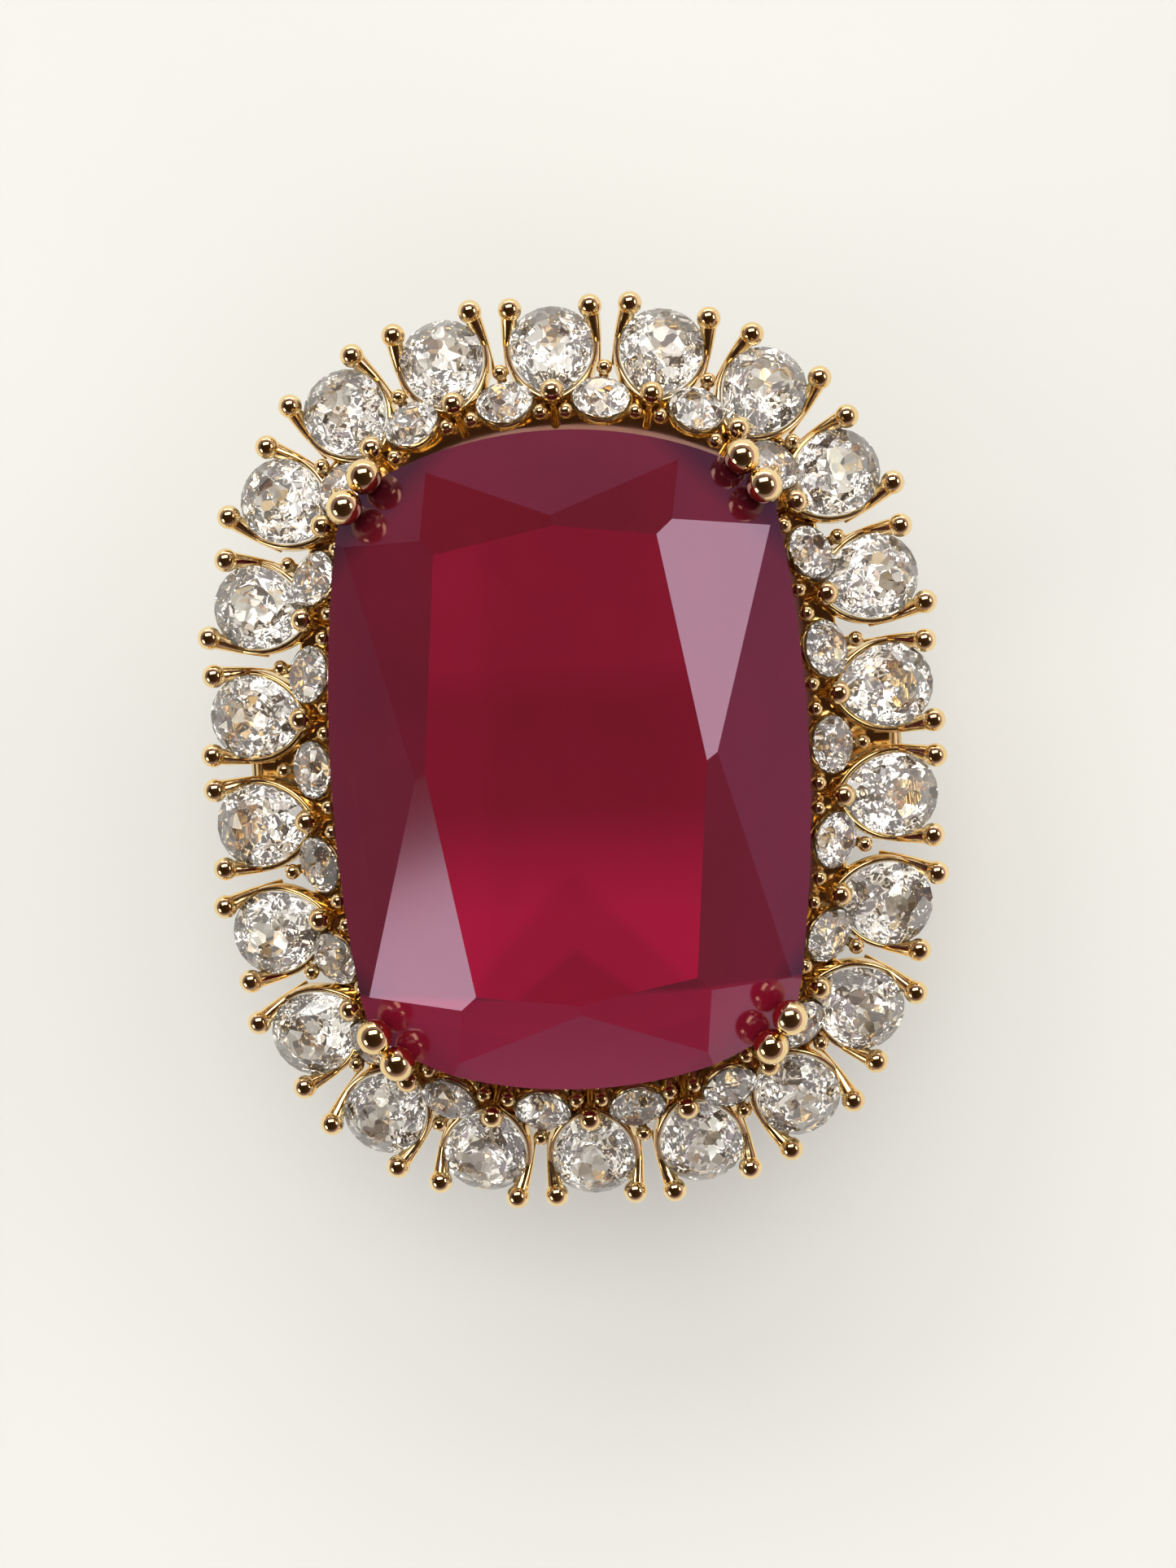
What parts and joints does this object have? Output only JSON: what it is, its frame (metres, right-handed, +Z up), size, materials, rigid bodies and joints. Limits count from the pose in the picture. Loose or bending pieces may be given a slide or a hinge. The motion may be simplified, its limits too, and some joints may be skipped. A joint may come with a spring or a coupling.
{
  "type": "cocktail ring",
  "caption": "Large cocktail ring: a red cushion-cut centre stone in paired claws, a halo of round stones and an outer halo of pear-shaped stones, on a gold band.",
  "frame": {"origin": "centre of the finger hole, midway along its length", "axes": "+Y along the finger and along the head's long axis, +Z up through the head and the centre stone, +X across the finger"},
  "size_m": [0.0254, 0.0312, 0.0284],
  "materials": {
    "gold": "polished",
    "red_stone": "polished",
    "clear_stone": "polished"
  },
  "bodies": {
    "root": {"shank": "gold", "under_gallery": "gold", "halo_gallery": "gold", "centre_basket": "gold", "centre_stone": "red_stone", "pear_stone_1": "clear_stone", "pear_stone_2": "clear_stone", "pear_stone_3": "clear_stone", "pear_stone_4": "clear_stone", "pear_stone_5": "clear_stone", "pear_stone_6": "clear_stone", "pear_stone_7": "clear_stone", "pear_stone_8": "clear_stone", "pear_stone_9": "clear_stone", "pear_stone_10": "clear_stone", "pear_stone_11": "clear_stone", "pear_stone_12": "clear_stone", "pear_stone_13": "clear_stone", "pear_stone_14": "clear_stone", "pear_stone_15": "clear_stone", "pear_stone_16": "clear_stone", "pear_stone_17": "clear_stone", "pear_stone_18": "clear_stone", "pear_stone_19": "clear_stone", "pear_stone_20": "clear_stone", "pear_stone_21": "clear_stone", "pear_stone_22": "clear_stone", "round_stone_1": "clear_stone", "round_stone_2": "clear_stone", "round_stone_3": "clear_stone", "round_stone_4": "clear_stone", "round_stone_5": "clear_stone", "round_stone_6": "clear_stone", "round_stone_7": "clear_stone", "round_stone_8": "clear_stone", "round_stone_9": "clear_stone", "round_stone_10": "clear_stone", "round_stone_11": "clear_stone", "round_stone_12": "clear_stone", "round_stone_13": "clear_stone", "round_stone_14": "clear_stone", "round_stone_15": "clear_stone", "round_stone_16": "clear_stone", "round_stone_17": "clear_stone", "round_stone_18": "clear_stone", "round_stone_19": "clear_stone", "round_stone_20": "clear_stone", "round_stone_21": "clear_stone", "round_stone_22": "clear_stone"}
  },
  "joints": []
}
